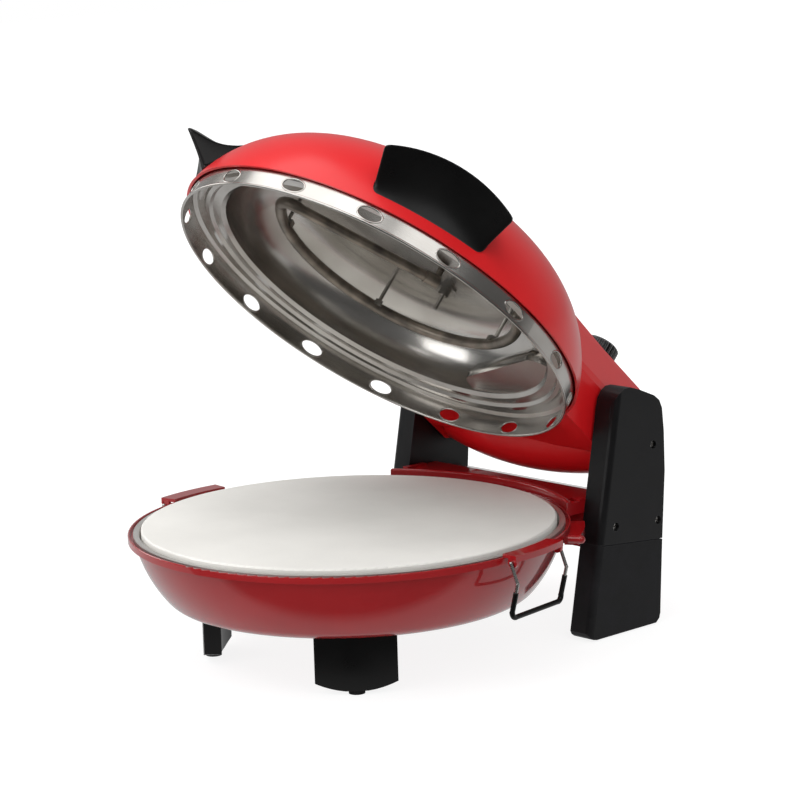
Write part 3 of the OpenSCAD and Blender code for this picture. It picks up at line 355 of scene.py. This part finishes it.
phenolic = make_moulding("black_phenolic_moulding", "080808", "0D0D0D", 0.6, 0.04, 0.26, 0.36)
# The knob's pale edge tone paints a highlight along its ridges.
knob_black = make_moulding("black_phenolic_knob", "0A0A0B", "101012", 0.6, 0.04, 0.22, 0.3,
                           edge_tone="9A9A9C")
nylon = make_moulding("charcoal_nylon_satin", "0B0B0D", "111113", 0.5, 0.03, 0.34, 0.48)
grained = make_moulding("charcoal_nylon_grained", "0D0D0F", "1D1D20", 1.2, 0.12, 0.5, 0.66,
                        cloud_scale=close_clouds)
rubber = make_moulding("black_moulded_rubber", "141414", "1B1B1B", 0.8, 0.08, 0.75, 0.9)
ceramic = make_moulding("unglazed_steatite", "CFC9BC", "DAD5C9", 0.5, 0.04, 0.6, 0.75)
print("made", phenolic.name, knob_black.name, nylon.name, grained.name, rubber.name, ceramic.name)

# %% [markdown]
# ## Pilot lamp
# The lens of the pilot lamp is amber polycarbonate, moulded and polished: a clear skin over an
# amber body with flow marks of about 3 mm.

# %% Amber lens
amber_flow = 300.0  # about 3 mm

amber, tree, output = new_material("amber_polycarbonate")
place = add(tree, "TexCoord").outputs["Object"]
flow = add(tree, "TexNoise", inputs={"Vector": place, "Scale": amber_flow, "Detail": 2.0})
tint = add(tree, "ValToRGB", inputs={"Fac": flow.outputs["Fac"]},
           stops=[(0.3, linear("C8480C")), (0.7, linear("F08A24"))])
body = add(tree, "BsdfPrincipled", inputs={
    "Base Color": tint.outputs["Color"], "Roughness": 0.12, "IOR": 1.58, "Coat Weight": 0.4,
    "Coat Roughness": 0.03})
tree.links.new(body.outputs[0], output.inputs[0])
print("made", amber.name)

# %% [markdown]
# ## Dressing the CAD nodes
# Each CAD node gets one finish in its material slot. The pieces made further down stand in for
# four kinds of them: the grips, the lid's heater tube, the pillars and the bowl.

# %% Assign finishes
finishes = {
    red_enamel: ["lower_bowl", "rear_bridge", "collar_right", "collar_left", "bracket_right",
                 "bracket_left"],
    lid_enamel: ["lid_dome", "neck_barrel"],
    lining_steel: ["reflector", "reflector_brackets", "upper_element_hangers", "thermostat_bulb"],
    pan_steel: ["stone_pan", "lower_element_clips"],
    wire_steel: ["pillar_screws_right", "pillar_screws_left", "hinge_pin_right", "hinge_pin_left",
                 "bail_wire_right", "bail_wire_left", "knob_shaft"],
    stone: ["baking_stone"],
    tube: ["lower_element", "upper_element"],
    knob_black: ["knob"],
    phenolic: ["front_foot_right", "front_foot_left", "grip_right", "grip_left",
               "bridge_back_panel", "cord_gland", "dial_plate", "bail_sleeve_right",
               "bail_sleeve_left"],
    nylon: ["pillar_right", "pillar_left"],
    grained: ["pillar_base_right", "pillar_base_left"],
    rubber: ["foot_pads", "pillar_pads"],
    ceramic: ["thermostat_body"],
    amber: ["pilot_lamp"],
}
dressed = set()
for material, names in finishes.items():
    for name in names:
        mesh = frame["nodes"][name].data
        mesh.materials.clear()
        mesh.materials.append(material)
        dressed.add(name)
print("dressed", len(dressed), "of", len(frame["nodes"]), sorted(set(frame["nodes"]) - dressed))

# %% [markdown]
# ## The two grips
# Each grip is a black moulding that wraps a stretch of the dome's shoulder. Seen from outside it
# is a scoop: the face runs from its foot on the dome in one hollow sweep out to a thin arched
# brim, under which the fingers go. A grid is bent into this form. One direction of the grid goes
# round the section (up the hollow face to the brim, back over the top to the dome, and down inside
# the dome's skin) and the other goes along the grip. The last rows step inward, which rounds the
# ends, and near the ends the foot rises and the brim draws back, which rounds the four corners.
# The second grip is a mirrored copy, so its faces are turned the right way again. First comes the
# dome that the grip sits on: its section is a shallow arc over the crown and a tighter one at the
# shoulder.

# %% The dome's skin, in mm from the lid's axis and the stone's top
crown_arc, crown_middle = 351.0, -251.5
shoulder_arc, shoulder_middle, shoulder_reach = 101.0, -10.41, 66.15
arcs_meet = 92.86


def dome_height(radius):
    """Height of the dome's outside at a radius."""
    if radius < arcs_meet:
        return crown_middle + math.sqrt(crown_arc ** 2 - radius ** 2)
    return shoulder_middle + math.sqrt(max(shoulder_arc ** 2 - (radius - shoulder_reach) ** 2, 0.0))


print("dome's height at its middle:", dome_height(0.0), "and at the shoulder:", dome_height(150.0))

# %% [markdown]
# The brim's top is arched about a level axis below the stone's top, so its height at any point
# follows from a ring's radius. The radius changes with the distance from the lid's axis: the list
# holds that curve, from the tip inwards. The hollow face is one Bezier sweep from the foot to the
# tip, drawn towards one bend. The place where the brim's top runs into the dome is found by a short
# search: it goes inwards until the top lies just below the dome's skin.

# %% The grip's section, in mm
brim_top = [(180.6, 103.5), (176.4, 103.7), (172.6, 103.3), (168.8, 102.9), (164.3, 102.5),
            (159.9, 102.3), (155.6, 102.8), (151.3, 103.7), (147.3, 105.3), (143.3, 107.2),
            (140.0, 109.3), (137.0, 111.6), (133.0, 113.8), (129.0, 115.8), (125.0, 117.7),
            (121.0, 119.5), (116.5, 121.0), (112.0, 122.0)]
arch_axis = -43.0
tip_reach, tip_ring, tip_sink = 181.0, 102.8, 0.35
tip_land = 0.4
foot_start, foot_corner = 45.6, 7.0
brim_start, brim_corner = 47.6, 5.0
foot_radius, foot_level = 162.2, 21.0
bend_radius, bend_shift, bend_drop, bend_least = 162.6, 0.4, 19.5, 1.0
sweep_pull = 0.8
search_from, search_to, search_step, dip = 150.0, 112.0, 0.5, 0.6
skin_end, skin_sink = 160.0, 1.7
foot_steps, top_steps, skin_steps = 16, 20, 9


def ring_at(x):
    """Radius of the brim's top about the arch's axis, read from the list."""
    for (x1, ring1), (x2, ring2) in zip(brim_top, brim_top[1:]):
        if x >= x2:
            return ring1 + (ring2 - ring1) * (x1 - x) / (x1 - x2)
    return brim_top[-1][1]


def grip_outline(angle):
    """The closed outline at an angle round the lid's axis, as (radius, height) points."""
    slope, cosine = math.tan(angle), math.cos(angle)

    def level(x, ring):
        """Height of the arched brim at a reach x, where the ring has this radius."""
        return arch_axis + math.sqrt(ring ** 2 - (x * slope) ** 2)

    along = tip_reach * abs(slope)
    foot_curl = min(max((along - foot_start) / foot_corner, 0.0), 1.0)
    brim_curl = min(max((along - brim_start) / brim_corner, 0.0), 1.0)
    foot = foot_level + foot_corner * (1.0 - math.sqrt(1.0 - foot_curl ** 2))
    back = brim_corner * (1.0 - math.sqrt(1.0 - brim_curl ** 2))
    tip = Vector((tip_reach - back, level(tip_reach - back, tip_ring - tip_sink * back)))
    root = Vector((foot_radius * cosine, foot))
    bend = Vector((bend_radius * cosine + bend_shift,
                   max(tip.y - bend_drop + back, foot + bend_least)))
    near_tip, near_root = tip.lerp(bend, sweep_pull), root.lerp(bend, sweep_pull)
    points = []
    for step in range(foot_steps + 1):
        t = step / foot_steps
        points.append(root * (1 - t) ** 3 + near_root * 3 * t * (1 - t) ** 2
                      + near_tip * 3 * t * t * (1 - t) + tip * t ** 3)
    inner = search_from
    while inner > search_to and level(inner, ring_at(inner)) > dome_height(inner / cosine) - dip:
        inner -= search_step
    for step in range(top_steps):
        x = tip.x - tip_land + (inner - tip.x + tip_land) * step / (top_steps - 1)
        points.append(Vector((x, level(x, ring_at(x)))))
    for step in range(1, skin_steps):
        radius = inner / cosine + (skin_end - inner / cosine) * step / skin_steps
        points.append(Vector((radius * cosine, dome_height(radius) - skin_sink)))
    return [(point.x / cosine, point.y) for point in points]


print("outline points:", len(grip_outline(0.0)), "brim tip at", grip_outline(0.0)[foot_steps])

# %% [markdown]
# A grid has its points in rows, so the point in a row and column is easy to find and to put in its
# place. Most rows carry the full outline. The last three at each end step inward along a quarter
# circle, so the end's edge is round.

# %% Bend a grid into the grip
grip_middle = math.radians(-39.3)
grip_half_angle = math.radians(16.2)
round_edge, edge_reach = 1.3, 178.0  # mm
edge_angle = round_edge / edge_reach
half_rows = 14


def stepped_in(outline, depth):
    """The outline moved inward by a depth, in mm."""
    moved = []
    for i, (r, z) in enumerate(outline):
        before, after = outline[i - 1], outline[(i + 1) % len(outline)]
        run = Vector((after[0] - before[0], after[1] - before[1])).normalized()
        moved.append((r - run.y * depth, z + run.x * depth))
    return moved


rows = [((grip_half_angle - edge_angle) * math.sin(math.pi / 2 * k / half_rows), 0.0)
        for k in range(-half_rows, half_rows + 1)]
for part in (30, 60, 90):
    row_angle = grip_half_angle - edge_angle * (1 - math.sin(math.radians(part)))
    depth = round_edge * (1 - math.cos(math.radians(part)))
    rows = [(-row_angle, depth)] + rows + [(row_angle, depth)]

bpy.ops.object.select_all(action="DESELECT")
across = len(grip_outline(0.0))
bpy.ops.mesh.primitive_grid_add(x_subdivisions=across, y_subdivisions=len(rows) - 1, size=0.1)
grip_right = bpy.context.object
grip_right.name = "grip_scoop_right"
for row, (angle, depth) in enumerate(rows):
    outline = stepped_in(grip_outline(angle), depth)
    turned = grip_middle + angle
    for column in range(across + 1):
        r, z = outline[column % across]
        vertex = grip_right.data.vertices[row * (across + 1) + column]
        vertex.co = on_lid(r * math.cos(turned), r * math.sin(turned), z)
grip_right.matrix_world = Matrix.Identity(4)
print("grid bent:", len(grip_right.data.vertices), "points")

# %% [markdown]
# The bent grid is an open tube: its first and last columns lie on each other and its ends are
# open. Merging doubles joins the seam, filling holes caps the ends, and the normals are turned
# outward. The same steps are used for every shell below. A copy of a CAD mesh also carries stored
# normals that no longer fit once its points are merged, so they are cleared first.

# %% Close the ends and copy for the other side
merge_distance = 0.00002


def close_shell(piece, bend=50):
    """Merges and closes a piece, and shades edges that turn by less than bend degrees smooth."""
    bpy.ops.object.select_all(action="DESELECT")
    bpy.context.view_layer.objects.active = piece
    piece.select_set(True)
    if piece.data.has_custom_normals:
        bpy.ops.mesh.customdata_custom_splitnormals_clear()
    bpy.ops.object.mode_set(mode="EDIT")
    bpy.ops.mesh.select_all(action="SELECT")
    bpy.ops.mesh.remove_doubles(threshold=merge_distance)
    bpy.ops.mesh.fill_holes(sides=0)
    bpy.ops.mesh.select_all(action="SELECT")
    bpy.ops.mesh.normals_make_consistent(inside=False)
    bpy.ops.object.mode_set(mode="OBJECT")
    bpy.ops.object.shade_smooth_by_angle(angle=math.radians(bend))


close_shell(grip_right)
grip_left = grip_right.copy()
grip_left.data = grip_right.data.copy()
grip_left.name = "grip_scoop_left"
bpy.context.scene.collection.objects.link(grip_left)
for vertex in grip_left.data.vertices:
    vertex.co.x = 2 * stone_centre.x - vertex.co.x
close_shell(grip_left)
for piece, node in ((grip_right, "grip_right"), (grip_left, "grip_left")):
    piece.data.materials.append(phenolic)
    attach(piece, "lid")
    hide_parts(node)
    print(piece.name, [round(v * 1000) for v in piece.dimensions], "mm")

# %% [markdown]
# ## Pressed collars of the skirt's holes
# The punch that makes an oblong hole also draws its lip a little, so each hole in the lining's
# skirt has a bright rounded collar. A torus is the nearest primitive: it is stretched into an
# oval, flattened, and bent round the skirt. One collar is bent at each of the sixteen places.

# %% Sixteen collars, in mm
skirt_middle = 160.75
skirt_low, hole_lift = -2.8, 7.9
hole_level = skirt_low + hole_lift
hole_count, first_hole = 16, 15.0
collar_long, collar_high = 9.6, 5.35
bar_wide, bar_thick = 0.85, 0.75
torus_bar = 0.25

for number in range(hole_count):
    bpy.ops.object.select_all(action="DESELECT")
    bpy.ops.mesh.primitive_torus_add(major_segments=48, minor_segments=10, major_radius=1.0,
                                     minor_radius=torus_bar)
    collar = bpy.context.object
    collar.name = "skirt_hole_collar_%02d" % (number + 1)
    middle_angle = math.radians(first_hole + number * 360 / hole_count)
    for vertex in collar.data.vertices:
        around = math.atan2(vertex.co.y, vertex.co.x)
        outward = (math.hypot(vertex.co.x, vertex.co.y) - 1.0) / torus_bar
        through = vertex.co.z / torus_bar
        along = (collar_long + bar_wide * outward) * math.cos(around)
        height = (collar_high + bar_wide * outward) * math.sin(around)
        radius = skirt_middle + bar_thick * through
        place_angle = middle_angle + along / skirt_middle
        vertex.co = on_lid(radius * math.cos(place_angle), radius * math.sin(place_angle),
                           hole_level + height)
    close_shell(collar)
    collar.data.materials.append(lining_steel)
    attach(collar, "lid")
print("collars:", hole_count, "inner opening", 2 * (collar_long - bar_wide), "by",
      2 * (collar_high - bar_wide), "mm")

# %% [markdown]
# ## The lid's heating element
# The sheath is a steel tube that was bent, flattened a little in its turns and then swelled by its
# packed filling, so it is stouter than the clean sweep of the drawing. A copy of the CAD tube has
# its points merged, and every point moves outward along its normal.

# %% Stouter heating tube
swell = 0.0008  # m

bpy.ops.object.select_all(action="DESELECT")
heater = bpy.data.objects.new("upper_heater_sheath", frame["nodes"]["upper_element"].data.copy())
bpy.context.scene.collection.objects.link(heater)
close_shell(heater)
normals = [vertex.normal.copy() for vertex in heater.data.vertices]
for vertex, normal in zip(heater.data.vertices, normals):
    vertex.co += normal * swell
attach(heater, "lid")
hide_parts("upper_element")
print("heater swelled by", swell * 1000, "mm:", len(heater.data.vertices), "points")

# %% [markdown]
# ## Softer pillars and bowl
# The rounded outlines of the pillars and the bowl's rolled rim are rows of short flat steps in the
# drawing. The moulded and pressed ones are smooth there, so each gets a copy whose small steps are
# shaded as one bend. A weighted normal keeps the big faces flat while the narrow ones between them
# blend.

# %% Copies with blended steps
blend_below = 38  # degrees

for node, slot_name in (("pillar_right", "charcoal_plastic"), ("pillar_left", "charcoal_plastic"),
                        ("lower_bowl", "red_enamel")):
    blended = bpy.data.objects.new("blended_" + node, frame["nodes"][node].data.copy())
    bpy.context.scene.collection.objects.link(blended)
    close_shell(blended, blend_below)
    weighted = blended.modifiers.new("weighted", "WEIGHTED_NORMAL")
    weighted.keep_sharp = True
    bpy.ops.object.modifier_apply(modifier=weighted.name)
    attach(blended, "base")
    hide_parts(node)
    print(blended.name, len(blended.data.polygons), "faces")

# %% [markdown]
# ## Studio floor
# The object stands on a pale floor under soft light. The camera sees the floor as almost white,
# with the soft shadow that the object leaves, and it grows to full white further away, so no
# horizon shows. Mirror rays see a plain table instead, which ends close in front of the bowl: from
# there on it is dark, so the upper band of the bowl mirrors darkness and its lower half the table.
# The floor lies a fifth of a millimetre below the soles.

# %% Floor, in metres from the middle of the frame
floor_size, floor_level = 12, -0.0002
table_ends, dark_begins = 0.185, 0.21
white_from, white_by = 0.5, 1.2

bpy.ops.object.select_all(action="DESELECT")
bpy.ops.mesh.primitive_plane_add(size=floor_size, location=(0, 0, floor_level))
floor = bpy.context.object
floor.name = "studio_floor"
floor_paint, tree, output = new_material("white_studio_floor")
rays = add(tree, "LightPath")
spot = add(tree, "TexCoord").outputs["Object"]
away = add(tree, "VectorMath", {"operation": "DOT_PRODUCT"}, {0: spot, 1: (0.7, -0.7, 0.0)})
table = add(tree, "ValToRGB", inputs={"Fac": away.outputs["Value"]},
            stops=[(table_ends, grey(0.62)), (dark_begins, grey(0.10))])
real = add(tree, "BsdfDiffuse", inputs={"Color": grey(0.7)})
mirrored = add(tree, "Emission", inputs={"Color": table.outputs["Color"]})
bounced = add(tree, "MixShader", inputs={0: rays.outputs["Is Glossy Ray"], 1: real.outputs[0],
                                         2: mirrored.outputs[0]})
seen = add(tree, "BsdfDiffuse", inputs={"Color": grey(0.24)})
far = add(tree, "VectorMath", {"operation": "LENGTH"}, {0: spot})
whiter = add(tree, "MapRange", inputs={"Value": far.outputs["Value"], "From Min": white_from,
                                       "From Max": white_by, "To Min": 0.87, "To Max": 1.0})
glow = add(tree, "Emission", inputs={"Color": grey(1.0), "Strength": whiter.outputs[0]})
both = add(tree, "AddShader", inputs={0: seen.outputs[0], 1: glow.outputs[0]})
shown = add(tree, "MixShader", inputs={0: rays.outputs["Is Camera Ray"], 1: bounced.outputs[0],
                                       2: both.outputs[0]})
tree.links.new(shown.outputs[0], output.inputs[0])
floor.data.materials.append(floor_paint)
print("floor:", [round(v, 1) for v in floor.dimensions], "m")

# %% [markdown]
# ## World
# The camera sees a white background. The object itself is filled softly from all round. Mirrors
# see a dim room that is brighter behind the object than on the camera's side, which is what gives
# polished steel its dark and bright streaks.

# %% World
fill_strength = 0.46
room_dim, room_bright, bright_by = 0.14, 0.34, 0.6

world = bpy.data.worlds.new("studio")
bpy.context.scene.world = world
world.use_nodes = True
tree = world.node_tree
tree.nodes.clear()
output = add(tree, "OutputWorld")
rays = add(tree, "LightPath")
aim = add(tree, "TexCoord").outputs["Generated"]
behind = add(tree, "VectorMath", {"operation": "DOT_PRODUCT"}, {0: aim, 1: (-0.62, 0.62, -0.25)})
room = add(tree, "MapRange", {"interpolation_type": "SMOOTHSTEP"},
           {"Value": behind.outputs["Value"], "From Min": 0.0, "From Max": bright_by,
            "To Min": room_dim, "To Max": room_bright})
fill = add(tree, "Background", inputs={"Color": grey(1.0), "Strength": fill_strength})
mirror_view = add(tree, "Background", inputs={"Color": grey(1.0), "Strength": room.outputs[0]})
white = add(tree, "Background", inputs={"Color": grey(1.0), "Strength": 1.0})
first = add(tree, "MixShader", inputs={0: rays.outputs["Is Glossy Ray"], 1: fill.outputs[0],
                                       2: mirror_view.outputs[0]})
direct = add(tree, "Math", {"operation": "MAXIMUM"}, {0: rays.outputs["Is Camera Ray"],
                                                      1: rays.outputs["Is Transmission Ray"]})
last = add(tree, "MixShader", inputs={0: direct.outputs[0], 1: first.outputs[0],
                                      2: white.outputs[0]})
tree.links.new(last.outputs[0], output.inputs[0])
print("world:", world.name, "with", len(tree.nodes), "nodes")

# %% [markdown]
# ## Lamps
# Four softboxes light the object: a large one overhead, and a smaller one each at the front left,
# the left and the upper right. All of them face a point 20 cm above the floor's middle. Each row
# of the list holds a name, a place in metres, a width and height in metres, and a power in watts.
# The colours are shown as they are worked out, without a film curve.

# %% Lamps
lamp_aim = Vector((0, 0, 0.2))

for name, place, size, power in (
        ("softbox_overhead", (-0.3, -0.8, 2.1), (3.0, 2.4), 46),
        ("softbox_front_left", (-0.4, -2.4, 0.9), (1.4, 1.0), 11),
        ("softbox_left", (-2.3, -0.5, 0.9), (0.9, 1.2), 9),
        ("softbox_right", (1.75, -0.5, 1.5), (1.1, 1.1), 6)):
    lamp = bpy.data.lights.new(name, "AREA")
    lamp.shape = "RECTANGLE"
    lamp.size, lamp.size_y = size
    lamp.energy = power
    softbox = bpy.data.objects.new(name, lamp)
    bpy.context.scene.collection.objects.link(softbox)
    softbox.location = place
    softbox.rotation_euler = (lamp_aim - Vector(place)).to_track_quat("-Z", "Y").to_euler()
scene = bpy.context.scene
scene.view_settings.view_transform = "Standard"
